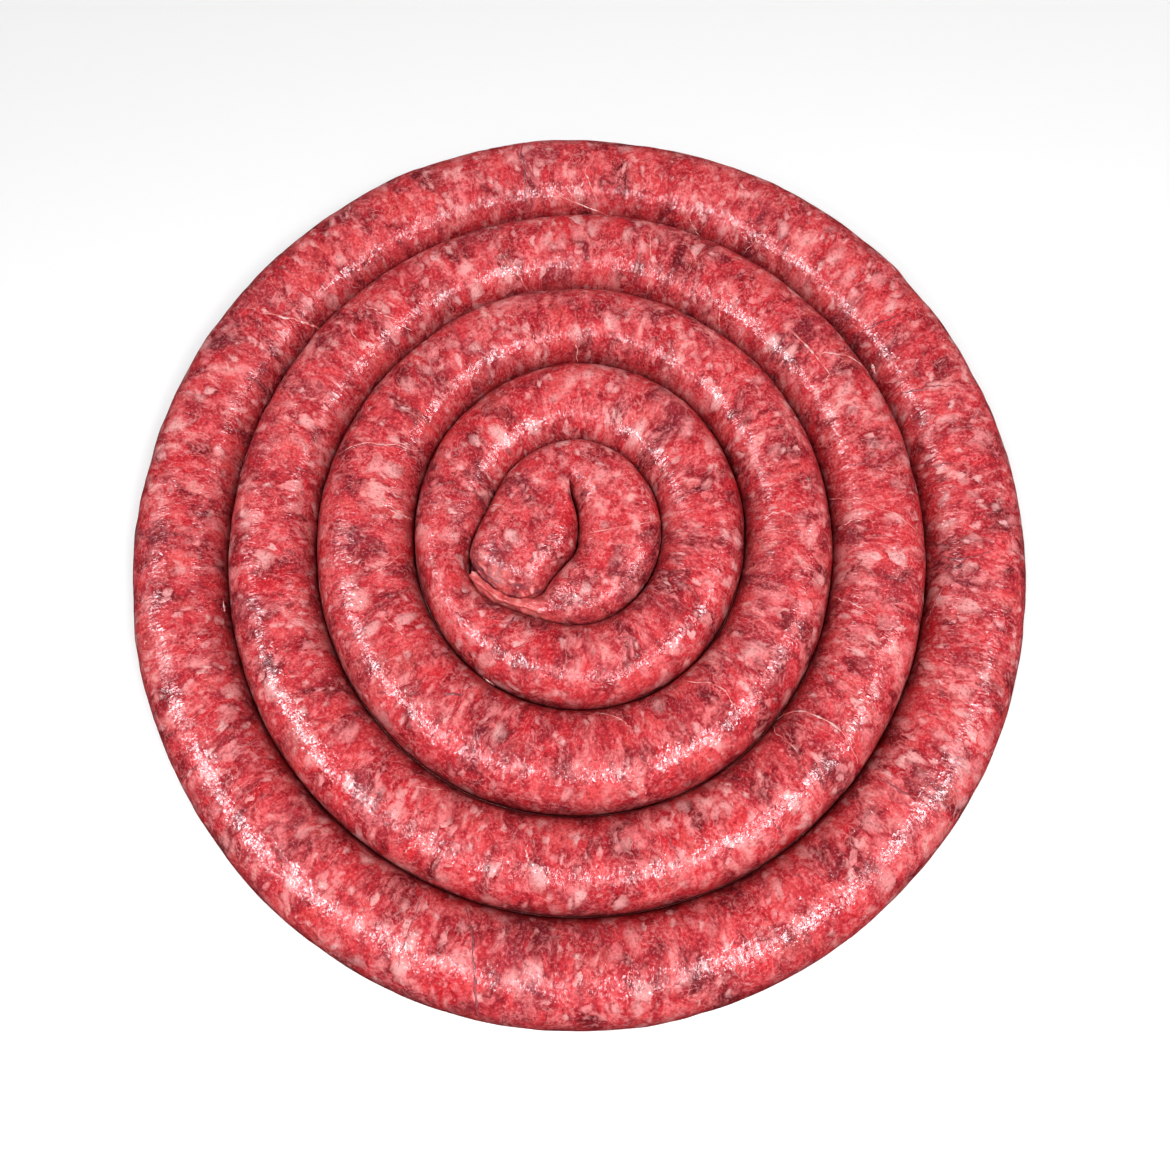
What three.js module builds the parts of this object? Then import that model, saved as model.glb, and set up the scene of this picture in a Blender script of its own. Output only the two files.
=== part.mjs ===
// A coil of fresh sausage lying flat. Four closed rings of filled casing are nested one in
// the next, round a short length that is folded in two. The empty end of that length's
// casing laps round the fold's other end as a flat flap.
// Millimetres, +Z up. The origin is on the table, under the middle of the coil.

import * as THREE from 'three';

const TURN = 2 * Math.PI;
const DEGREE = TURN / 360;

const GAP = 0.3; // clear space between neighbouring skins
const REST_SINK = 1.2; // how far a round skin would sink below the table if it didn't flatten
const SIDE_FULLNESS = 0.9; // 1 is an ellipse, and less is fuller at the sides and the top
const SECTION_SIDES = 16;

// The coil's outline and the four holes inside it, as ovals seen from above. Each ring lies
// between two of them. dx and dy are how far an oval's middle is off the coil's middle.
const OUTLINE = { halfWidth: 144.5, halfDepth: 151, dx: 0, dy: 0, wobble: 0.5 };
const HOLE_4 = { halfWidth: 113.4, halfDepth: 119.7, dx: -0.7, dy: -0.2, wobble: 0.4 };
const HOLE_3 = { halfWidth: 84.3, halfDepth: 90.3, dx: -1.4, dy: -0.4, wobble: 0.4 };
const HOLE_2 = { halfWidth: 54.3, halfDepth: 60.0, dx: 0.1, dy: 1.7, wobble: 0.3 };
const HOLE_1 = { halfWidth: 28.0, halfDepth: 31.0, dx: -1.5, dy: 0.5, wobble: 0 };

// The folded length's ends push the innermost ring outwards here.
const DENT_ANGLE = 205 * DEGREE;
const DENT_SPREAD = 18 * DEGREE;
const DENT_DEPTH = 8.5;

const RINGS = [
  { name: 'ring_1', hole: HOLE_1, edge: HOLE_2, height: 27.0, steps: 44 },
  { name: 'ring_2', hole: HOLE_2, edge: HOLE_3, height: 28.0, steps: 56 },
  { name: 'ring_3', hole: HOLE_3, edge: HOLE_4, height: 28.0, steps: 72 },
  { name: 'ring_4', hole: HOLE_4, edge: OUTLINE, height: 28.5, steps: 90 },
];
const HEIGHT_WOBBLE = 0.4;

// Stations along the folded length, from its round end, round the fold, to the flap's tip.
// inner is on the crease between the two arms, and further on round the round end. bearing
// is where the outer side meets the innermost ring. low and high are the skin's lowest and
// highest points there.
const FOLD_STATIONS = [
  { inner: [-10.2, -16.6], bearing: 190, low: 0, high: 25.5 },
  { inner: [-5.8, -11.3], bearing: 178, low: 0, high: 26.5 },
  { inner: [-2.0, -6.9], bearing: 164, low: 0, high: 27 },
  { inner: [-0.7, -1.0], bearing: 146, low: 0, high: 27 },
  { inner: [-0.9, 5.5], bearing: 126, low: 0, high: 26.8 },
  { inner: [-2.3, 11.0], bearing: 106, low: 0, high: 26.3 },
  { inner: [-3.9, 15.0], bearing: 84, low: 0, high: 25.8 },
  { inner: [-2.7, 13.3], bearing: 62, low: 0, high: 26 },
  { inner: [-1.3, 10.2], bearing: 40, low: 0, high: 26.5 },
  { inner: [-0.2, 5.0], bearing: 18, low: 0, high: 26.5 },
  { inner: [0.0, -1.5], bearing: -7, low: 0, high: 26.2 },
  { inner: [-1.4, -7.3], bearing: -32, low: 0, high: 25.5 },
  { inner: [-5.3, -12.0], bearing: -58, low: 0, high: 24.5 },
  { inner: [-9.6, -17.2], bearing: -80, low: 0, high: 23 },
  { inner: [-12.2, -20.3], bearing: -97, low: 1, high: 22 },
  { inner: [-15.0, -21.8], bearing: -111, low: 3, high: 21 },
  { inner: [-18.6, -22.4], bearing: -123, low: 5, high: 20 },
  { inner: [-22.8, -21.5], bearing: -134, low: 7, high: 19.5 },
  { inner: [-27.2, -19.2], bearing: -143.5, low: 8, high: 19.5 },
  { inner: [-31.2, -16.1], bearing: -151.5, low: 9, high: 19 },
  { inner: [-33.9, -13.2], bearing: -158, low: 11, high: 18 },
];
const STEPS_PER_STATION = 2;
const ROUND_END_LENGTH = 8.5;
const ROUND_END_SKEW = 4; // how far the round end leans towards the crease
const ROUND_END_STEPS = 4;

const SKIN_LOOK = { roughness: 0.32, metalness: 0 };
const RING_COLOUR = 0xb5434b;
const FOLD_COLOUR = 0xbd4d54;

// A slow unevenness along a turn, between about -1 and 1. Each seed gives another one.
function unevenness(angle, seed) {
  return 0.5 * Math.sin(3 * angle + 1.7 * seed) + 0.3 * Math.sin(5 * angle + 2.9 * seed)
    + 0.2 * Math.sin(8 * angle + 4.3 * seed);
}

// How far an oval's edge is from the coil's middle, in one direction.
function ovalRadius(oval, angle) {
  const stepX = Math.cos(angle) / oval.halfWidth;
  const stepY = Math.sin(angle) / oval.halfDepth;
  const startX = -oval.dx / oval.halfWidth;
  const startY = -oval.dy / oval.halfDepth;
  const a = stepX * stepX + stepY * stepY;
  const b = stepX * startX + stepY * startY;
  const c = startX * startX + startY * startY - 1;
  return (-b + Math.sqrt(b * b - a * c)) / a;
}

// An oval's edge with its unevenness, and the innermost one with its dent.
function edgeRadius(oval, angle) {
  const radius = ovalRadius(oval, angle) + oval.wobble * unevenness(angle, oval.halfWidth);
  if (oval !== HOLE_1) return radius;
  const turned = Math.atan2(Math.sin(angle - DENT_ANGLE), Math.cos(angle - DENT_ANGLE));
  return radius + DENT_DEPTH * Math.exp(-0.5 * (turned / DENT_SPREAD) ** 2);
}

// A power that keeps the sign, which makes an ellipse's sides fuller.
function softened(value) {
  return Math.sign(value) * Math.abs(value) ** SIDE_FULLNESS;
}

// One closed section of the skin, in the upright plane through two points on its sides. It
// starts at the first point and goes over the top. Near the table its underside is flat.
function section(from, to, low, high) {
  const middle = from.clone().lerp(to, 0.5);
  const across = from.clone().sub(middle);
  const sink = Math.max(0, REST_SINK - low);
  const halfHeight = (high - low + sink) / 2;
  const points = [];
  for (let side = 0; side < SECTION_SIDES; side++) {
    const angle = side / SECTION_SIDES * TURN;
    const point = middle.clone().addScaledVector(across, softened(Math.cos(angle)));
    point.z = Math.max(low, high - halfHeight + halfHeight * softened(Math.sin(angle)));
    points.push(point);
  }
  return points;
}

// A closed skin over a row of sections, which either meet in a loop or end in two caps.
function skin(sections, isLoop) {
  const vertices = sections.flat();
  const triangles = [];
  const spans = isLoop ? sections.length : sections.length - 1;
  for (let span = 0; span < spans; span++) {
    const here = span * SECTION_SIDES;
    const there = (span + 1) % sections.length * SECTION_SIDES;
    for (let side = 0; side < SECTION_SIDES; side++) {
      const next = (side + 1) % SECTION_SIDES;
      triangles.push(here + side, there + side, there + next);
      triangles.push(here + side, there + next, here + next);
    }
  }
  if (!isLoop) {
    addCap(vertices, triangles, 0, true);
    addCap(vertices, triangles, spans * SECTION_SIDES, false);
  }
  const geometry = new THREE.BufferGeometry().setFromPoints(vertices);
  geometry.setIndex(triangles);
  geometry.computeVertexNormals();
  return geometry;
}

function addCap(vertices, triangles, first, facesBack) {
  const middle = new THREE.Vector3();
  for (let side = 0; side < SECTION_SIDES; side++) {
    middle.addScaledVector(vertices[first + side], 1 / SECTION_SIDES);
  }
  const tip = vertices.push(middle) - 1;
  for (let side = 0; side < SECTION_SIDES; side++) {
    const a = first + side;
    const b = first + (side + 1) % SECTION_SIDES;
    triangles.push(tip, ...(facesBack ? [a, b] : [b, a]));
  }
}

function pointAt(angle, radius) {
  return new THREE.Vector3(radius * Math.cos(angle), radius * Math.sin(angle), 0);
}

function ringGeometry(ring) {
  const sections = [];
  for (let step = 0; step < ring.steps; step++) {
    // The half step keeps a section off the axes, where the flat under the ring is a mount.
    const angle = (step + 0.5) / ring.steps * TURN;
    const outer = pointAt(angle, edgeRadius(ring.edge, angle) - GAP / 2);
    const inner = pointAt(angle, edgeRadius(ring.hole, angle) + GAP / 2);
    const high = ring.height + HEIGHT_WOBBLE * unevenness(angle, ring.height + ring.steps);
    sections.push(section(outer, inner, 0, high));
  }
  return skin(sections, true);
}

// The stations' rails as smooth curves, so that more sections fit between the stations.
function foldRails() {
  const inner = FOLD_STATIONS.map(({ inner: [x, y], low }) => new THREE.Vector3(x, y, low));
  const outer = FOLD_STATIONS.map(({ bearing, high }) => {
    const angle = bearing * DEGREE;
    return pointAt(angle, edgeRadius(HOLE_1, angle) - GAP / 2).setZ(high);
  });
  return {
    inner: new THREE.CatmullRomCurve3(inner, false, 'centripetal'),
    outer: new THREE.CatmullRomCurve3(outer, false, 'centripetal'),
  };
}

// A section of the folded length. The inner rail's z holds low, and the outer rail's high.
function foldSection(inner, outer) {
  const low = Math.max(0, inner.z);
  return section(inner.clone().setZ(0), outer.clone().setZ(0), low, outer.z);
}

// The round end: sections that shrink to a point as they slide away from the first one.
function roundEnd(inner, outer) {
  const middle = inner.clone().lerp(outer, 0.5).setZ(0);
  const outward = outer.clone().sub(inner).setZ(0);
  const halfWidth = outward.length() / 2;
  outward.normalize();
  const endward = new THREE.Vector3(-outward.y, outward.x, 0);
  const sections = [];
  for (let step = ROUND_END_STEPS; step > 0; step--) {
    const lean = step / (ROUND_END_STEPS + 0.5) * TURN / 4;
    const size = Math.cos(lean);
    const centre = middle.clone().addScaledVector(endward, ROUND_END_LENGTH * Math.sin(lean));
    centre.addScaledVector(outward, -ROUND_END_SKEW * (1 - size));
    const reach = outward.clone().multiplyScalar(halfWidth * size);
    const low = outer.z / 2 * (1 - size);
    const high = outer.z / 2 * (1 + size);
    sections.push(section(centre.clone().sub(reach), centre.clone().add(reach), low, high));
  }
  return sections;
}

function foldGeometry() {
  const rails = foldRails();
  const sections = roundEnd(rails.inner.getPoint(0), rails.outer.getPoint(0));
  const steps = (FOLD_STATIONS.length - 1) * STEPS_PER_STATION;
  for (let step = 0; step <= steps; step++) {
    const along = step / steps;
    sections.push(foldSection(rails.inner.getPoint(along), rails.outer.getPoint(along)));
  }
  return skin(sections, false);
}

function piece(name, geometry, colour) {
  const material = new THREE.MeshStandardMaterial({ color: colour, ...SKIN_LOOK });
  const mesh = new THREE.Mesh(geometry, material);
  mesh.name = name;
  return mesh;
}

const coil = new THREE.Group();
coil.name = 'sausage_coil';
for (const ring of RINGS) {
  coil.add(piece(ring.name, ringGeometry(ring), RING_COLOUR));
}
coil.add(piece('folded_centre', foldGeometry(), FOLD_COLOUR));

const box = new THREE.Box3().setFromObject(coil);
const middle = box.getCenter(new THREE.Vector3());
coil.position.set(-middle.x, -middle.y, -box.min.z);

export default coil;
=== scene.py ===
"""A coil of raw, coarse-ground sausage in a wet natural casing: closed rings of meat nested
round a short length folded in two, seen from above on a plain pale floor.

Metres in the row frame. Detail sizes are named in millimetres, and MM turns them to metres.
"""

import itertools
import math

import bpy
import numpy as np
from mathutils import Matrix, Vector
from mathutils.bvhtree import BVHTree


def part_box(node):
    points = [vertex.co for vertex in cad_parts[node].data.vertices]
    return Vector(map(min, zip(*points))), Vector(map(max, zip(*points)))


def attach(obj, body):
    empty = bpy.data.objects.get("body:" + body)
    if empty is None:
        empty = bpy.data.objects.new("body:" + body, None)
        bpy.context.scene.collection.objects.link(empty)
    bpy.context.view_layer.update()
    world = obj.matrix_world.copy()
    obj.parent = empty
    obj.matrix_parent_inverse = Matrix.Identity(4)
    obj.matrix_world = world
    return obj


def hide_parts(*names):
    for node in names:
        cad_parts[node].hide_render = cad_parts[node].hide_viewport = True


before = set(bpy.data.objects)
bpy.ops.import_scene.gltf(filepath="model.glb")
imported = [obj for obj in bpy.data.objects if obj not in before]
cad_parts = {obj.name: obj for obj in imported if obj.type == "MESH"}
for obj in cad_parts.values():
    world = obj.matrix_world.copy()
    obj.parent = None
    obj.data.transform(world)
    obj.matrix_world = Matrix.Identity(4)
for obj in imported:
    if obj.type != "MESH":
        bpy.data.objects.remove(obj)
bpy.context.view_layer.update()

MM = 0.001
TURN = 2 * math.pi
RING_GRIDS = [  # node, sections along it, points round each
    ("ring_1", 380, 120),
    ("ring_2", 560, 112),
    ("ring_3", 740, 108),
    ("ring_4", 900, 104),
]

# ---------------------------------------------------------------- numbers and noise


def noise(points, cell, seed):
    """Smooth value noise between -1 and 1 over points in space, with one bump per cell."""
    grid = points / cell + 1000
    base = np.floor(grid).astype(np.int64)
    share = grid - base
    share = share * share * (3 - 2 * share)
    total = np.zeros(len(points))
    for corner in itertools.product((0, 1), repeat=3):
        key = (base + corner) @ np.array([73856093, 19349663, 83492791]) + seed * 2654435
        key = (key ^ (key >> 13)) * 1274126177 & 0x7FFFFFFF
        key = (key ^ (key >> 15)) * 1103515245 & 0x7FFFFFFF
        weight = np.prod(np.where(np.array(corner) == 1, share, 1 - share), axis=1)
        total += weight * (key / 0x3FFFFFFF - 1)
    return total


def smoothstep(low, high, value):
    share = np.clip((value - low) / (high - low), 0, 1)
    return share * share * (3 - 2 * share)


def smooth_loop(samples, count, waves=24):
    """A closed row of samples without its facets, resampled to count."""
    kept = np.fft.rfft(samples)[:waves]
    return np.fft.irfft(kept, count) * count / len(samples)


def unit(vectors):
    return vectors / np.maximum(np.linalg.norm(vectors, axis=-1, keepdims=True), 1e-12)


# ---------------------------------------------------------------- meshes


def grid_faces(along, around, wraps_along, first):
    """Faces of one skin grid that is closed around, and closed along too or capped."""
    spans = along if wraps_along else along - 1
    i, j = np.meshgrid(np.arange(spans), np.arange(around), indexing="ij")
    here, there = first + i * around, first + (i + 1) % along * around
    next_j = (j + 1) % around
    quads = np.stack([here + j, there + j, there + next_j, here + next_j], -1)
    faces = quads.reshape(-1, 4).tolist()
    if not wraps_along:
        cap = np.arange(around)
        faces += [(first + cap[::-1]).tolist(), (first + cap + (along - 1) * around).tolist()]
    return faces


def skin_mesh(name, grids, attributes, wraps_along=False):
    """One mesh of point grids[along, around, xyz], with a value per point for each attribute."""
    faces, first = [], 0
    for grid in grids:
        faces += grid_faces(grid.shape[0], grid.shape[1], wraps_along, first)
        first += grid.shape[0] * grid.shape[1]
    mesh = bpy.data.meshes.new(name)
    mesh.from_pydata(np.vstack([grid.reshape(-1, 3) for grid in grids]).tolist(), [], faces)
    for key, values in attributes.items():
        flat = np.asarray(values, dtype=np.float32).reshape(first, -1)
        kind, field = ("FLOAT", "value") if flat.shape[1] == 1 else ("FLOAT_VECTOR", "vector")
        layer = mesh.attributes.new(key, kind, "POINT")
        layer.data.foreach_set(field, flat.ravel())
    mesh.shade_smooth()
    mesh.update()
    return mesh


def add_piece(name, mesh, material, slot, *nodes):
    """Puts a mesh in the scene as a piece of the object, in place of its CAD nodes."""
    piece = bpy.data.objects.new(name, mesh)
    bpy.context.collection.objects.link(piece)
    piece.data.materials.append(material)
    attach(piece, "root")
    if nodes:
        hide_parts(*nodes)
    return piece


# ---------------------------------------------------------------- shape of the meat

REST_SINK = 1.2 * MM  # how far a round skin would sink below the floor if it didn't flatten
SHOULDER = 0.035  # how much fuller than an ellipse a section is, half way to its crest
FLOOR_ROUNDING = 0.5 * MM
FLOOR_SETTLE = 0.12 * FLOOR_ROUNDING  # how far the rounded underside is let down on the floor
TOUCH = 0.1 * MM  # how far each skin's side reaches into the CAD nodes' gap
CREST_CROWDING = 0.35  # how much closer together the points are on the crest
RELIEF = [(0.30, 26), (0.26, 11), (0.17, 5), (0.07, 2.4)]  # its height and its cell, in mm
UNDERSIDE_RELIEF = 0.3  # share of the relief that is left on the pressed underside
RING_SHIFT, FOLD_SHIFT = 60, 900  # in mm, so that no two pieces have the same patches


def girth_angles(count):
    """Angles round a section from its outer side over the crest, closer together on top."""
    even = np.arange(count) / count * TURN
    return even + CREST_CROWDING * (np.cos(even) - 1)


def section_offsets(angles, half_width, high, low, shoulder=SHOULDER):
    """(across, height) of section points: a full oval that is flat where it would sink."""
    sink = np.maximum(0, REST_SINK - low)
    half_height = (high - low + sink) / 2
    fuller = 1 + shoulder * np.sin(2 * angles) ** 2
    across = half_width * fuller * np.cos(angles)
    height = high - half_height + half_height * fuller * np.sin(angles)
    lift = height - low
    soft = np.sqrt(lift * lift + FLOOR_ROUNDING**2)
    return across, low + (lift + soft) / 2 - FLOOR_SETTLE


def relief(points, angles, seed):
    """How far the lumpy meat pushes the casing out, most of it on the upper side."""
    lumps = sum(
        height * noise(points, cell * MM, seed + k) for k, (height, cell) in enumerate(RELIEF)
    )
    upper = smoothstep(-0.1, 0.5, np.sin(angles))
    return lumps * MM * (UNDERSIDE_RELIEF + (1 - UNDERSIDE_RELIEF) * upper)


class Ring:
    """One closed ring's shape, measured from its CAD node."""

    SAMPLES = 360

    def __init__(self, node):
        self.seed = 10 * int(node[-1])
        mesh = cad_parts[node].data
        tree = BVHTree.FromPolygons(
            [v.co for v in mesh.vertices], [p.vertices for p in mesh.polygons]
        )
        low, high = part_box(node)
        waist = (high[2] - REST_SINK) / 2
        inner, outer, top = [], [], []
        for angle in np.arange(self.SAMPLES) / self.SAMPLES * TURN:
            way = Vector((math.cos(angle), math.sin(angle), 0))
            middle = Vector((0, 0, waist))
            inner.append(tree.ray_cast(middle, way)[3])
            outer.append(1 - tree.ray_cast(middle + way, -way)[3])
            crest = way * (inner[-1] + outer[-1]) / 2
            top.append(tree.ray_cast(crest + Vector((0, 0, 1)), Vector((0, 0, -1)))[0].z)
        self.inner, self.outer, self.top = (
            smooth_loop(np.array(row), 4 * self.SAMPLES) for row in (inner, outer, top)
        )
        self.mean_radius = (self.inner.mean() + self.outer.mean()) / 2

    def at(self, row, turn):
        places = np.arange(len(row)) / len(row) * TURN
        return np.interp(turn % TURN, places, row, period=TURN)

    def surface(self, turn, girth):
        """Points of the lumpy skin at angles along the ring and round its section."""
        inner = self.at(self.inner, turn) - TOUCH
        outer = self.at(self.outer, turn) + TOUCH
        across, height = section_offsets(girth, (outer - inner) / 2, self.at(self.top, turn), 0)
        radius = (inner + outer) / 2 + across
        out = np.stack([np.cos(turn), np.sin(turn), 0 * turn], -1)
        points = out * radius[..., None] + np.stack([0 * turn, 0 * turn, height], -1)
        normal = out * np.cos(girth)[..., None]
        normal[..., 2] = np.sin(girth)
        push = relief(points.reshape(-1, 3), girth.ravel(), self.seed).reshape(turn.shape)
        points = points + normal * push[..., None]
        points[..., 2] = np.maximum(points[..., 2], 0)
        return points

    def skin_place(self, turn, girth):
        """A place on the unrolled casing: round a plain cylinder, and along its girth, which
        starts and ends on the underside."""
        half = (self.outer.mean() - self.inner.mean()) / 2
        girth = np.where(girth > 0.75 * TURN, girth - TURN, girth)
        return np.stack(
            [
                self.mean_radius * np.cos(turn) / MM,
                self.mean_radius * np.sin(turn) / MM,
                half * girth / MM + RING_SHIFT * self.seed,
            ],
            -1,
        )


def side_shade_of(steepness):
    """How much painted shade a place on a section gets: none on the crest, most at the waist,
    and less again further down. It darkens the sides between the turns."""
    return (1 - smoothstep(-0.05, 0.92, steepness)) * (0.5 + 0.5 * smoothstep(-0.7, 0, steepness))


def build_ring(node, material, steps, around):
    ring = Ring(node)
    turn, girth = np.meshgrid(
        np.arange(steps) / steps * TURN, girth_angles(around), indexing="ij"
    )
    points = ring.surface(turn, girth)
    zero = np.zeros(points.shape[:2])
    mesh = skin_mesh(
        f"{node}_skin",
        [points],
        {
            "skin": ring.skin_place(turn, girth),
            "pale": zero,
            "grey": zero,
            # painted shade, darkest low on the sides between the turns
            "side_shade": side_shade_of(np.sin(girth)),
        },
        wraps_along=True,
    )
    add_piece(f"{node}_meat", mesh, material, "ring_meat", node)
    return ring


# ---------------------------------------------------------------- the folded length


def smooth_rows(rows, places):
    """Catmull-Rom curves through the rows' columns, read at places counted in rows."""
    rows = np.asarray(rows, dtype=float)
    padded = np.vstack([2 * rows[0] - rows[1], rows, 2 * rows[-1] - rows[-2]])
    at = np.clip(np.floor(places).astype(int), 0, len(rows) - 2)
    t = (places - at)[:, None]
    a, b, c, d = (padded[at + k] for k in range(4))
    return b + 0.5 * t * (c - a + t * (2 * a - 5 * b + 4 * c - d + t * (3 * (b - c) + d - a)))


# Stations from the round end, round the fold, to the flap's tip, as the CAD node has them:
# a point on the crease, in mm, the bearing where the outer side meets the innermost ring,
# in degrees, and the skin's lowest and highest points, in mm.
FOLD_STATIONS = [
    (-10.2, -16.6, 190, 0, 25.5),
    (-5.8, -11.3, 178, 0, 26.5),
    (-2.0, -6.9, 164, 0, 27),
    (-0.7, -1.0, 146, 0, 27),
    (-0.9, 5.5, 126, 0, 26.8),
    (-2.3, 11.0, 106, 0, 26.3),
    (-3.9, 15.0, 84, 0, 25.8),
    (-2.7, 13.3, 62, 0, 26),
    (-1.3, 10.2, 40, 0, 26.5),
    (-0.2, 5.0, 18, 0, 26.5),
    (0.0, -1.5, -7, 0, 26.2),
    (-1.4, -7.3, -32, 0, 25.5),
    (-5.3, -12.0, -58, 0, 24.5),
    (-9.6, -17.2, -80, 0, 23),
    (-12.2, -20.3, -97, 1, 22),
    (-15.0, -21.8, -111, 3, 21),
    (-18.6, -22.4, -123, 5, 20),
    (-22.8, -21.5, -134, 7, 19.5),
    (-27.2, -19.2, -143.5, 8, 19.5),
    (-31.2, -16.1, -151.5, 9, 19),
    (-33.9, -13.2, -158, 11, 18),
]
FLAP_START = 13  # the station where the filled arm ends and the empty casing begins
STEPS_PER_STATION = 14
ROUND_END_LENGTH = 8.5 * MM
ROUND_END_SKEW = 4 * MM
ROUND_END_STEPS = 30
WALL_GAP = 0.05 * MM
CREASE_TOUCH = 0.3 * MM  # how far each arm swells over the crease line, to meet the other
PRESSED_SHOULDER = 0.12  # how much fuller the arms are, as they press on what is beside them
FLAP_PLEATS = 6
GATHERS = 11  # puckers round the round end
GATHERS_AT, GATHERS_SPREAD = -0.5, 0.28  # in stations, where the round end is -1 to 0
GATHER_HEIGHT = 0.22 * MM


def fold_rows(wall):
    """The fold's sections from the tip of its round end to the tip of its flap, as rows of
    (inner point, outer point, low, high, station). wall is the ring that holds it."""
    station = np.linspace(
        0, len(FOLD_STATIONS) - 1, (len(FOLD_STATIONS) - 1) * STEPS_PER_STATION + 1
    )
    rows = smooth_rows(FOLD_STATIONS, station)
    inner = rows[:, :2] * MM
    bearing = np.radians(rows[:, 2])
    reach = wall.at(wall.inner, bearing) - WALL_GAP
    outer = np.stack([reach * np.cos(bearing), reach * np.sin(bearing)], -1)
    inner = inner - unit(outer - inner) * CREASE_TOUCH
    low, high = np.maximum(rows[:, 3], 0) * MM, rows[:, 4] * MM

    outward = unit(outer[0] - inner[0])
    endward = np.array([-outward[1], outward[0]])
    half_width = np.linalg.norm(outer[0] - inner[0]) / 2
    lean = (np.arange(ROUND_END_STEPS, 0, -1) / (ROUND_END_STEPS + 0.2) * TURN / 4)[:, None]
    size = np.cos(lean)
    centre = (inner[0] + outer[0]) / 2 + endward * ROUND_END_LENGTH * np.sin(lean)
    centre = centre - outward * ROUND_END_SKEW * (1 - size)
    half_across = outward * half_width * size
    return (
        np.vstack([centre - half_across, inner]),
        np.vstack([centre + half_across, outer]),
        np.concatenate([high[0] / 2 * (1 - size[:, 0]), low]),
        np.concatenate([high[0] / 2 * (1 + size[:, 0]), high]),
        np.concatenate([-lean[:, 0] / (TURN / 4), station]),
    )


def grid_normals(points):
    """Outward unit normals of an open skin grid that is closed around."""
    along = np.gradient(points, axis=0)
    around = np.roll(points, -1, axis=1) - np.roll(points, 1, axis=1)
    return unit(np.cross(along, around))


def build_fold(material, wall, around=112):
    """The folded length: two filled arms, a gathered round end and a flat, crumpled flap."""
    inner, outer, low, high, station = fold_rows(wall)
    station = station[:, None]
    girth = np.broadcast_to(girth_angles(around), (len(station), around))
    half_width = np.linalg.norm(outer - inner, axis=1)[:, None] / 2
    filled = 1 - smoothstep(FLAP_START - 0.5, FLAP_START + 1.5, station)
    across, height = section_offsets(
        girth, half_width, high[:, None], low[:, None], SHOULDER + PRESSED_SHOULDER * filled
    )
    way = unit(inner - outer)[:, None, :]
    flat = ((inner + outer) / 2)[:, None, :] + way * across[..., None]
    points = np.concatenate([flat, height[..., None]], -1)
    normals = grid_normals(points)
    place = points.reshape(-1, 3)

    def bumps(size, seed):
        return noise(place, size * MM, seed).reshape(height.shape)

    lumps = relief(place, girth.ravel(), 60).reshape(height.shape)
    pleats = np.sin(FLAP_PLEATS * girth + 4.5 * bumps(6, 74))
    pleats = pleats * smoothstep(-0.2, 0.5, np.sin(girth))
    crumple = (0.30 * pleats + 0.55 * bumps(3.4, 71) + 0.30 * bumps(1.6, 72)) * MM
    tip = np.exp(-(((station - GATHERS_AT) / GATHERS_SPREAD) ** 2)) * (station < 0)
    gathers = GATHER_HEIGHT * tip * np.sin(GATHERS * girth + 3 * bumps(5, 75))
    push = lumps * filled + crumple * (1 - filled) + gathers
    points = points + normals * push[..., None]
    points[..., 2] = np.maximum(points[..., 2], 0)

    crease_side = smoothstep(-0.3, 0.9, np.cos(girth))
    pale = smoothstep(FLAP_START + 1.2 - 1.8 * crease_side, FLAP_START + 2.6, station)
    pale = pale * np.clip(0.68 + 0.75 * bumps(2.4, 76), 0.1, 1.25)
    speck = smoothstep(0.15, 0.55, bumps(1.5, 77)) * tip * 1.6
    stain = np.clip(tip * (0.45 + 0.8 * bumps(2.4, 73)), 0, 1)
    mesh = skin_mesh(
        "folded_skin",
        [points],
        {
            "skin": points / MM + FOLD_SHIFT,
            "pale": pale + speck,
            "grey": stain * (1 - np.minimum(speck, 1)),
            # painted shade on the filled arms' sides, none on the flap
            "side_shade": side_shade_of(np.sin(girth)) * filled,
        },
    )
    add_piece("folded_meat", mesh, material, "fold_meat", "folded_centre")
    return points, station[:, 0], girth[0]


# ---------------------------------------------------------------- veins and scraps of casing

VEIN_STEPS = 90
VEIN_SIDES = 6
VEIN_RISE = 0.4  # its height over its width
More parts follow.
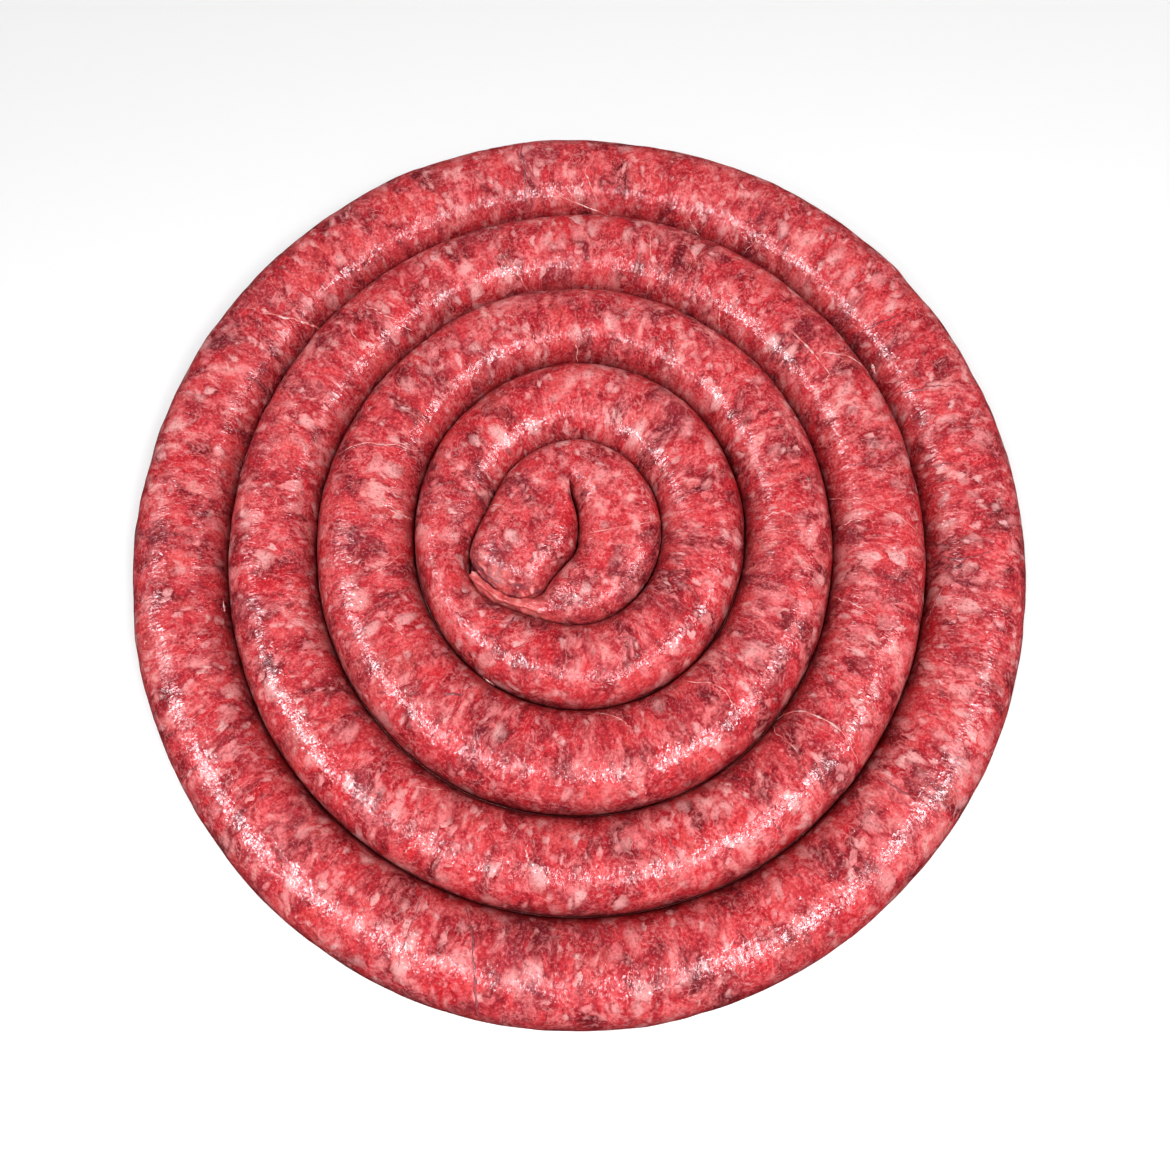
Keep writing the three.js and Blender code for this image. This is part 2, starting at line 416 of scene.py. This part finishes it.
# ring, turn from and to, girth from and to, bow of its turn, all in degrees, width in mm.
# Girth is 0 on the ring's outer side, 90 on its crest and 180 on its inner side.
PALE_VEINS = [
    ("ring_4", 145, 140, 98, 165, 0, 0.8),
    ("ring_4", 95, 85, 130, 162, 0, 0.5),
    ("ring_4", 89, 86, 90, 152, 1, 0.4),
    ("ring_4", 91.5, 90, 115, 142, 0, 0.4),
    ("ring_4", 72, 69, 140, 165, 0, 0.4),
    ("ring_4", 61, 58, 158, 98, 0, 0.4),
    ("ring_3", 133, 129, 80, 142, 0, 0.6),
    ("ring_3", 138, 138, 85, 142, 1, 0.5),
    ("ring_3", 105.5, 101, 100, 165, 0, 0.5),
    ("ring_3", 77, 75, 65, 155, 0, 0.4),
    ("ring_3", 60, 57, 112, 162, 0, 0.5),
    ("ring_3", 46, 32, 100, 98, 0, 0.6),
    ("ring_3", 32, 30, 98, 120, 0, 0.5),
    ("ring_3", 37, 29, 95, 32, 1, 0.5),
    ("ring_3", 8.5, -2, 165, 40, 0, 0.6),
    ("ring_3", 0, 0, 155, 100, 1, 0.4),
    ("ring_3", 345, 341, 162, 95, 0, 0.5),
    ("ring_3", 315, 318, 172, 40, 3, 0.6),
    ("ring_3", 314, 312, 170, 105, -1, 0.4),
    ("ring_3", 243, 246, 45, 90, 0, 0.5),
    ("ring_3", 238, 244, 118, 145, 1, 0.5),
    ("ring_3", 261.5, 262, 108, 80, 0, 0.5),
    ("ring_2", 162, 153.5, 40, 140, 0, 0.6),
    ("ring_2", 174, 175, 112, 165, 1, 0.5),
    ("ring_2", 196, 188, 98, 152, 0, 0.4),
    ("ring_2", 108, 102, 78, 158, 0, 0.5),
    ("ring_2", 91.5, 90.5, 95, 168, 0, 0.5),
    ("ring_2", 19, 17, 138, 98, 0, 0.4),
    ("ring_2", 1.5, -0.5, 132, 86, 3, 0.6),
    ("ring_2", 303, 308, 140, 65, 3, 0.5),
    ("ring_2", 275, 283.5, 148, 108, 2, 0.4),
    ("ring_2", 281, 283.5, 72, 38, 0, 0.5),
    ("ring_2", 207, 215, 100, 112, 0, 0.5),
]
DARK_VEINS = [
    ("ring_4", 254, 259, 155, 25, 1, 0.7),
    ("ring_4", 248, 249, 150, 60, 0, 0.4),
    ("ring_4", 98, 99, 35, 162, 0, 0.7),
    ("ring_4", 261, 264, 122, 96, 0, 0.4),
    ("ring_4", 273, 274.5, 158, 125, 0, 0.4),
    ("ring_4", 139.5, 137, 12, 98, 0, 0.4),
    ("ring_4", 134, 130, 128, 162, 0, 0.4),
    ("ring_4", 155, 154.5, 118, 148, 0, 0.4),
    ("ring_4", 36.5, 34, 150, 76, 0, 0.5),
    ("ring_4", 24, 21, 152, 80, 0, 0.5),
    ("ring_4", 10.5, 9.5, 145, 112, 0, 0.5),
    ("ring_4", -3, -4, 162, 85, -2, 0.5),
    ("ring_4", -9, -16, 135, 165, 0, 0.5),
    ("ring_4", 318, 319.5, 140, 50, 0, 0.5),
    ("ring_4", 214, 214, 35, 75, 0, 0.6),
    ("ring_3", 190, 189, 116, 168, 0, 0.4),
    ("ring_3", 13, 12, 125, 100, 0, 0.4),
    ("ring_3", 301, 302, 80, 42, 0, 0.5),
    ("ring_3", 285, 285.5, 112, 70, 0, 0.5),
    ("ring_3", 66, 62.5, 75, 78, 1, 0.7),
    ("ring_2", 162.6, 154, 40, 138, 0, 0.4),
    ("ring_2", 120, 122, 12, 92, 0, 0.4),
    ("ring_2", 12.5, 11, 66, 62, 0, 1.2),
    ("ring_2", 233, 237, 104, 116, 0, 0.8),
    ("ring_1", 237, 238, 145, 55, -1, 0.6),
    ("ring_1", 151, 149, 70, 80, 0, 0.6),
    ("ring_1", 285, 293, 110, 102, 0, 0.4),
]
CASING_SCRAPS = [
    ("ring_1", 238, 241.5, 12, 10, 0, 1.2),
    ("ring_4", 29.5, 31, 158, 154, 0, 1.3),
    ("ring_4", 192, 193.5, 158, 160, 0, 1.1),
]
FOLD_VEINS = [  # station from and to, girth from and to in degrees, width in mm
    (10.3, 9.4, 25, 160, 0.4),
    (1.9, 2.1, 165, 110, 0.4),
]


def along_vein(size, seed):
    """Noise along a vein, in a chosen number of cells."""
    share = np.linspace(0, 1, VEIN_STEPS) * size
    return noise(np.stack([share, 0 * share, 0 * share], -1), 1, seed)


def vein_grid(line, normal, width, seed):
    """A thin raised strip along a line on the casing, tapered at both ends."""
    share = np.clip(np.linspace(0, 1, VEIN_STEPS), 0.002, 0.998)
    thick = width / 2 * np.sqrt(np.sin(math.pi * share)) * (1 + 0.5 * along_vein(24, seed))
    side = unit(np.cross(unit(np.gradient(line, axis=0)), normal))
    ring = np.arange(VEIN_SIDES) / VEIN_SIDES * TURN
    flat = side[:, None, :] * np.cos(ring)[None, :, None]
    rise = normal[:, None, :] * np.sin(ring)[None, :, None] * VEIN_RISE
    return line[:, None, :] + (flat + rise) * thick[:, None, None]


def ring_vein(rings, row, seed):
    """The strip of one row of a vein list."""
    node, turn_from, turn_to, girth_from, girth_to, bow, width = row
    ring = rings[node]
    share = np.linspace(0, 1, VEIN_STEPS)
    sway = 0.5 * along_vein(7, seed + 1) + 0.25 * along_vein(19, seed + 2)
    bend = bow * np.sin(math.pi * share) + np.degrees(MM / ring.mean_radius) * sway
    turn = np.radians(turn_from + (turn_to - turn_from) * share + bend)
    girth = np.radians(girth_from + (girth_to - girth_from) * share)
    line = ring.surface(turn, girth)
    out = np.stack([np.cos(turn), np.sin(turn), 0 * turn], -1) * np.cos(girth)[:, None]
    out[:, 2] = np.sin(girth)
    return vein_grid(line, out, width * MM, seed)


def build_veins(name, material, grids, pale, grey):
    """Joins vein strips in one piece. Its colour comes and goes along each of them."""
    fade = np.concatenate(
        [np.repeat(1 + 0.5 * along_vein(16, 40 + k), VEIN_SIDES) for k in range(len(grids))]
    )
    attributes = {
        "skin": np.vstack([grid.reshape(-1, 3) for grid in grids]) / MM,
        "pale": pale * fade,
        "grey": grey * np.minimum(fade, 1),
        # no painted shade on the veins
        "side_shade": 0 * fade,
    }
    add_piece(name, skin_mesh(name, grids, attributes), material, "ring_meat")


def fold_vein(fold, row, seed):
    """A strip that runs across the folded length."""
    points, stations, girths = fold
    station_from, station_to, girth_from, girth_to, width = row
    share = np.linspace(0, 1, VEIN_STEPS)
    station = station_from + (station_to - station_from) * share + 0.03 * along_vein(9, seed)
    at = np.interp(station, stations, np.arange(len(stations)))
    column = np.radians(girth_from + (girth_to - girth_from) * share)
    column = np.interp(column, girths, np.arange(len(girths)))
    i, j = np.floor(at).astype(int), np.floor(column).astype(int)
    u, v = (at - i)[:, None], (column - j)[:, None]
    near = points[i, j] * (1 - v) + points[i, j + 1] * v
    far = points[i + 1, j] * (1 - v) + points[i + 1, j + 1] * v
    line = near * (1 - u) + far * u
    return vein_grid(line, unit(line - points[i].mean(axis=1)), width * MM, seed)


# ---------------------------------------------------------------- materials


def linear(red, green, blue):
    """An sRGB colour given in 0 to 255, as the linear colour that shaders take."""
    levels = [c / 255 for c in (red, green, blue)]
    return [c / 12.92 if c <= 0.04045 else ((c + 0.055) / 1.055) ** 2.4 for c in levels] + [1]


class Graph:
    """Short calls that add the nodes of one material."""

    def __init__(self, name):
        self.material = bpy.data.materials.new(name)
        self.material.use_nodes = True
        self.tree = self.material.node_tree
        self.shader = self.tree.nodes["Principled BSDF"]
        self.noises = 0

    def node(self, kind, inputs=(), **settings):
        made = self.tree.nodes.new(kind)
        for key, value in settings.items():
            setattr(made, key, value)
        for key, value in dict(inputs).items():
            self.feed(made.inputs[key], value)
        return made

    def feed(self, socket, value):
        if isinstance(value, bpy.types.NodeSocket):
            self.tree.links.new(value, socket)
        else:
            socket.default_value = value

    def attribute(self, name, output="Fac"):
        return self.node("ShaderNodeAttribute", attribute_name=name).outputs[output]

    def noise(self, place, size, detail=2.0, roughness=0.5, output="Fac"):
        """A noise texture with spots of about the given size, unlike the ones before it."""
        self.noises += 1
        place = self.vector_math("ADD", place, (137.0 * self.noises, 0, 91.0 * self.noises))
        inputs = {"Vector": place, "Scale": 1 / size, "Detail": detail, "Roughness": roughness}
        return self.node("ShaderNodeTexNoise", inputs).outputs[output]

    def cells(self, place, size):
        """Distance to the nearest of scattered points, and three numbers of that point's own."""
        made = self.node("ShaderNodeTexVoronoi", {"Vector": place, "Scale": 1 / size})
        own = self.node("ShaderNodeSeparateColor", {"Color": made.outputs["Color"]})
        return made.outputs["Distance"], own.outputs

    def math(self, operation, *values):
        made = self.node("ShaderNodeMath", operation=operation)
        for socket, value in zip(made.inputs, values):
            self.feed(socket, value)
        return made.outputs[0]

    def vector_math(self, operation, *values):
        made = self.node("ShaderNodeVectorMath", operation=operation)
        for socket, value in zip(made.inputs, values):
            self.feed(socket, value)
        return made.outputs[0]

    def step(self, value, low, high):
        """0 where value is at low, 1 where it is at high, with a smooth change between."""
        inputs = {"Value": value, "From Min": low, "From Max": high}
        made = self.node("ShaderNodeMapRange", inputs, interpolation_type="SMOOTHSTEP")
        return made.outputs["Result"]

    def ramp(self, share, tones):
        """A colour read off a row of (share, sRGB colour) stops."""
        made = self.node("ShaderNodeValToRGB", {"Fac": share})
        stops = made.color_ramp.elements
        while len(stops) < len(tones):
            stops.new(1.0)
        for stop, (place, tone) in zip(stops, tones):
            stop.position = place
            stop.color = linear(*tone)
        return made.outputs["Color"]

    def over(self, colour, share, strength, tone):
        """The colour with an sRGB tone over it, at full strength where share is 1."""
        return self.mix(self.math("MULTIPLY", share, strength), colour, linear(*tone))

    def mix(self, share, base, top, blend="MIX"):
        made = self.node("ShaderNodeMix", data_type="RGBA", blend_type=blend)
        self.feed(made.inputs["Factor"], share)
        self.feed(made.inputs["A"], base)
        self.feed(made.inputs["B"], top)
        return made.outputs["Result"]


def warped(graph, place, size, reach):
    """The place moved about by noise, so that patterns on it get ragged edges."""
    wander = graph.noise(place, size, 2, output="Color")
    wander = graph.vector_math("SUBTRACT", wander, (0.5, 0.5, 0.5))
    inputs = {0: wander, "Scale": reach}
    scaled = graph.node("ShaderNodeVectorMath", inputs, operation="SCALE").outputs[0]
    return graph.vector_math("ADD", place, scaled)


LEAN_TONES = [  # share of the noise, sRGB colour
    (0.30, (94, 12, 22)),
    (0.40, (136, 28, 38)),
    (0.48, (180, 38, 48)),
    (0.55, (206, 52, 60)),
    (0.63, (224, 74, 78)),
    (0.72, (234, 108, 109)),
]
# Patches over the lean meat: their edges, spot size in mm, detail and roughness of the noise,
# where in it they begin and are whole, strength and sRGB colour.
PATCHES = [
    ("loose", 13, 3, 0.55, 0.53, 0.68, 0.65, (212, 32, 42)),  # bright red meat
    ("loose", 15, 4, 0.62, 0.52, 0.68, 0.6, (134, 46, 58)),  # dull meat
    ("loose", 10, 3, 0.5, 0.56, 0.70, 0.5, (232, 88, 86)),  # salmon meat
    ("ragged", 3.4, 4, 0.66, 0.50, 0.72, 0.7, (236, 120, 122)),  # pale strands
    ("ragged", 2.6, 4, 0.66, 0.54, 0.74, 0.75, (104, 16, 28)),  # dark clots
]
FAT_RIM, FAT_CORE = (234, 104, 107), (248, 168, 164)  # sRGB, as the tones below are
RED_FLECK, PALE_FLECK = (236, 112, 117), (252, 188, 186)
THREAD_TONE = (244, 150, 150)
SUNK_TONE, RAISED_TONE = (100, 12, 22), (252, 150, 152)
# Painted shade: the tint that the sides between the turns are multiplied by.
SIDE_SHADE_TINT = (152, 108, 110)  # what the colour is multiplied by low on the sides
CASING_TONE, DRY_CASING_TONE = (226, 108, 106), (246, 214, 210)
STAIN_TONE = (122, 66, 76)
FLECKS = [(5.6, 0.70), (2.6, 0.74)]  # spacing in mm, and how large the largest are
WET_COAT = {"Coat Roughness": 0.16, "Coat IOR": 1.9, "Specular IOR Level": 0.08}


def meat_material(name):
    """Coarse red and pink meat with fat bits, seen through a wet, clear casing."""
    g = Graph(name)
    skin = g.attribute("skin", "Vector")
    drawn = g.vector_math("MULTIPLY", skin, (1, 1, 0.72))
    loose = warped(g, drawn, 8, 7)
    ragged = warped(g, loose, 2.2, 1.5)

    colour = g.ramp(g.noise(ragged, 10, 5, 0.66), LEAN_TONES)
    for edges, size, detail, roughness, low, high, strength, tone in PATCHES:
        place = ragged if edges == "ragged" else loose
        patch = g.step(g.noise(place, size, detail, roughness), low, high)
        colour = g.over(colour, patch, strength, tone)

    # Fat bits, more of them in some regions than in others.
    spread = g.noise(loose, 20, 2, 0.5)
    fat = g.noise(ragged, 6.0, 3, 0.55)
    fat = g.math("MULTIPLY_ADD", spread, 0.45, g.math("SUBTRACT", fat, 0.225))
    rim = g.step(fat, 0.53, 0.68)
    core = g.step(fat, 0.62, 0.78)
    colour = g.over(colour, rim, 0.75, FAT_RIM)
    colour = g.over(colour, core, 0.9, FAT_CORE)

    # Small flecks with torn edges, each with a size and a tone of its own.
    torn = warped(g, ragged, 1.1, 1.3)
    for size, largest in FLECKS:
        distance, own = g.cells(torn, size)
        reach = g.math("MULTIPLY_ADD", g.math("POWER", own[0], 1.8), largest, -0.24)
        flecks = g.step(g.math("SUBTRACT", reach, distance), -0.30, 0.26)
        fleck_tone = g.mix(own[1], linear(*RED_FLECK), linear(*PALE_FLECK))
        colour = g.mix(g.math("MULTIPLY", flecks, 0.8), colour, fleck_tone)

    # Fine pale threads, where a noise crosses its middle.
    away = g.math("ABSOLUTE", g.math("SUBTRACT", g.noise(ragged, 2.6, 2, 0.5), 0.5))
    patches = g.step(g.noise(loose, 7, 2, 0.5), 0.44, 0.60)
    threads = g.math("MULTIPLY", g.step(away, 0.05, 0.0), patches)
    colour = g.over(colour, threads, 0.45, THREAD_TONE)

    # Fine grain, then painted shade that darkens the sides between the turns.
    fine = g.noise(skin, 0.9, 3, 0.7)
    colour = g.over(colour, g.step(fine, 0.52, 0.26), 0.66, SUNK_TONE)
    colour = g.over(colour, g.step(fine, 0.50, 0.78), 0.6, RAISED_TONE)
    side_shade = g.mix(1.0, colour, linear(*SIDE_SHADE_TINT), "MULTIPLY")
    colour = g.mix(g.attribute("side_shade"), colour, side_shade)

    # Bare casing and veins: pale up to 1, then drier and whiter.
    pale = g.attribute("pale")
    colour = g.mix(pale, colour, linear(*CASING_TONE))
    colour = g.mix(g.math("SUBTRACT", pale, 1), colour, linear(*DRY_CASING_TONE))
    colour = g.mix(g.attribute("grey"), colour, linear(*STAIN_TONE))

    g.feed(g.shader.inputs["Base Color"], colour)
    g.feed(g.shader.inputs["Roughness"], g.math("MULTIPLY_ADD", fine, 0.2, 0.40))
    add_wet_film(g, skin)
    return g.material


def add_wet_film(g, skin):
    """A broken, crinkled coat that shines face on, and hardly at all at grazing angles."""
    for key, value in WET_COAT.items():
        g.shader.inputs[key].default_value = value
    fibres = g.vector_math("MULTIPLY", skin, (1, 1, 0.45))
    facing = g.node("ShaderNodeLayerWeight", {"Blend": 0.5}).outputs["Facing"]
    wet = g.math("MULTIPLY_ADD", g.step(facing, 0.10, 0.49), -0.97, 1.0)
    film = g.step(g.noise(fibres, 0.8, 2, 0.6), 0.42, 0.64)
    pools = g.math("MULTIPLY_ADD", g.step(g.noise(skin, 11, 3, 0.6), 0.36, 0.54), 0.7, 0.3)
    film = g.math("MULTIPLY", g.math("MULTIPLY_ADD", film, 0.66, 0.14), pools)
    g.feed(g.shader.inputs["Coat Weight"], g.math("MULTIPLY", wet, film))

    crinkle = g.noise(fibres, 0.8, 2, 0.6)
    bumps = g.math("MULTIPLY_ADD", g.noise(skin, 2.6, 2, 0.5), 1.6, crinkle)
    bump = g.node("ShaderNodeBump", {"Height": bumps, "Strength": 0.9, "Distance": 0.28 * MM})
    g.feed(g.shader.inputs["Normal"], bump.outputs[0])
    g.feed(g.shader.inputs["Coat Normal"], bump.outputs[0])


def floor_material():
    """Matt and nearly white. It glows only away from the coil, where the lights don't reach."""
    g = Graph("pale_floor")
    g.shader.inputs["Base Color"].default_value = (0.95, 0.95, 0.95, 1)
    g.shader.inputs["Roughness"].default_value = 0.8
    place = g.node("ShaderNodeNewGeometry").outputs["Position"]
    away = g.node("ShaderNodeVectorMath", {0: place}, operation="LENGTH").outputs["Value"]
    g.shader.inputs["Emission Color"].default_value = (1, 1, 1, 1)
    g.feed(g.shader.inputs["Emission Strength"], g.math("MULTIPLY", g.step(away, 0.2, 1.5), 0.9))
    g.material.cycles.emission_sampling = "NONE"
    return g.material


# ---------------------------------------------------------------- floor, light and camera

FLOOR_HALF = 12.0
FLOOR_DROP = 0.02 * MM  # so that it doesn't share a plane with the flat undersides


def build_floor():
    mesh = bpy.data.meshes.new("floor")
    ways = ((-1, -1), (1, -1), (1, 1), (-1, 1))
    corners = [(x * FLOOR_HALF, y * FLOOR_HALF, 0) for x, y in ways]
    mesh.from_pydata(corners, [], [(0, 1, 2, 3)])
    mesh.materials.append(floor_material())
    floor = bpy.data.objects.new("floor", mesh)
    floor.location.z = -FLOOR_DROP
    floor.visible_diffuse = False  # so that it doesn't light the meat's sides from below
    floor.visible_glossy = False
    bpy.context.collection.objects.link(floor)


STRIPS = {  # each long light's two ends
    "strip_left": ((-0.75, 0.07, 0.65), (-0.35, -0.49, 0.80)),
    "strip_right": ((0.165, -0.556, 0.814), (0.706, -0.101, 0.701)),
}
STRIP_WIDTH = 0.20
STRIP_WATTS = 9.5
STRIP_COLOUR = (1.0, 0.90, 0.95)
KEYS = {  # each soft light's place and power in watts
    "key_left": ((-0.30, -0.35, 0.95), 5.3),
    "key_right": ((0.30, -0.35, 0.95), 8.1),
}
KEY_SIZE = 0.4
ROOM_ABOVE, ROOM_BELOW = 0.18, 0.5  # strength of the light from above and below the horizon


def aim(thing, target):
    way = Vector(target) - thing.location
    thing.rotation_mode = "QUATERNION"
    thing.rotation_quaternion = way.to_track_quat("-Z", "Y")


def add_strip_light(name, start, end):
    """A long light between two places that only gives the wet casing its highlights."""
    start, end = Vector(start), Vector(end)
    light = bpy.data.lights.new(name, "AREA")
    light.shape = "RECTANGLE"
    light.size, light.size_y = (end - start).length, STRIP_WIDTH
    light.energy = STRIP_WATTS
    light.color = STRIP_COLOUR
    lamp = bpy.data.objects.new(name, light)
    lamp.location = (start + end) / 2
    back = lamp.location.normalized()
    along = (end - start).normalized()
    across = back.cross(along).normalized()
    along = across.cross(back)
    lamp.visible_diffuse = False
    lamp.rotation_euler = Matrix((along, across, back)).transposed().to_euler()
    bpy.context.collection.objects.link(lamp)


def add_key_light(name, place, watts):
    """A soft light that shapes the meat without a reflection of its own."""
    light = bpy.data.lights.new(name, "AREA")
    light.shape = "SQUARE"
    light.size = KEY_SIZE
    light.energy = watts
    lamp = bpy.data.objects.new(name, light)
    lamp.location = place
    lamp.visible_glossy = False
    bpy.context.collection.objects.link(lamp)
    aim(lamp, (0, 0, 0))


def build_lights():
    for name, ends in STRIPS.items():
        add_strip_light(name, *ends)
    for name, (place, watts) in KEYS.items():
        add_key_light(name, place, watts)
    build_room()


def build_room():
    """Plain soft light from all round, stronger from below, as off a pale table. The camera
    sees the room as white."""
    world = bpy.data.worlds.new("room")
    bpy.context.scene.world = world
    world.use_nodes = True
    world.cycles_visibility.glossy = False
    tree = world.node_tree
    way = tree.nodes.new("ShaderNodeTexCoord").outputs["Generated"]
    height = tree.nodes.new("ShaderNodeSeparateXYZ")
    tree.links.new(way, height.inputs[0])
    from_below = tree.nodes.new("ShaderNodeMapRange")
    room = {"From Min": 0.1, "From Max": -0.1, "To Min": ROOM_ABOVE, "To Max": ROOM_BELOW}
    for key, value in room.items():
        from_below.inputs[key].default_value = value
    tree.links.new(height.outputs["Z"], from_below.inputs["Value"])
    seen = tree.nodes.new("ShaderNodeLightPath").outputs["Is Camera Ray"]
    strength = tree.nodes.new("ShaderNodeMath")
    strength.operation = "MAXIMUM"
    tree.links.new(seen, strength.inputs[0])
    tree.links.new(from_below.outputs["Result"], strength.inputs[1])
    background = tree.nodes["Background"]
    background.inputs["Color"].default_value = (1, 1, 1, 1)
    tree.links.new(strength.outputs[0], background.inputs["Strength"])


CAMERA_TILT = math.radians(16.9)  # off straight down
CAMERA_DISTANCE = 0.3625
CAMERA_AIM = (0.0018, -0.0124, 0)
LENS, SENSOR = 33.05, 36.0


def build_camera():
    camera = bpy.data.objects.new("camera", bpy.data.cameras.new("camera"))
    bpy.context.collection.objects.link(camera)
    camera.data.lens, camera.data.sensor_width = LENS, SENSOR
    camera.data.clip_start = 0.01
    back = Vector((0, -math.sin(CAMERA_TILT), math.cos(CAMERA_TILT)))
    camera.location = Vector(CAMERA_AIM) + back * CAMERA_DISTANCE
    aim(camera, CAMERA_AIM)
    bpy.context.scene.camera = camera


# ---------------------------------------------------------------- the scene


def build():
    bpy.context.scene.view_settings.view_transform = "Standard"
    meat = meat_material("sausage_meat")
    rings = {node: build_ring(node, meat, steps, around) for node, steps, around in RING_GRIDS}
    fold = build_fold(meat, rings["ring_1"])
    on_fold = [fold_vein(fold, row, 900 + k) for k, row in enumerate(FOLD_VEINS)]
    pale, dark, scraps = (
        [ring_vein(rings, row, 3 * k) for k, row in enumerate(rows)]
        for rows in (PALE_VEINS, DARK_VEINS, CASING_SCRAPS)
    )
    build_veins("pale_veins", meat, pale, 1.2, 0)
    build_veins("fold_veins", meat, on_fold, 1.0, 0)
    build_veins("dark_veins", meat, dark, 0, 0.7)
    build_veins("casing_scraps", meat, scraps, 1.5, 0)
    build_floor()
    build_lights()
    build_camera()


build()
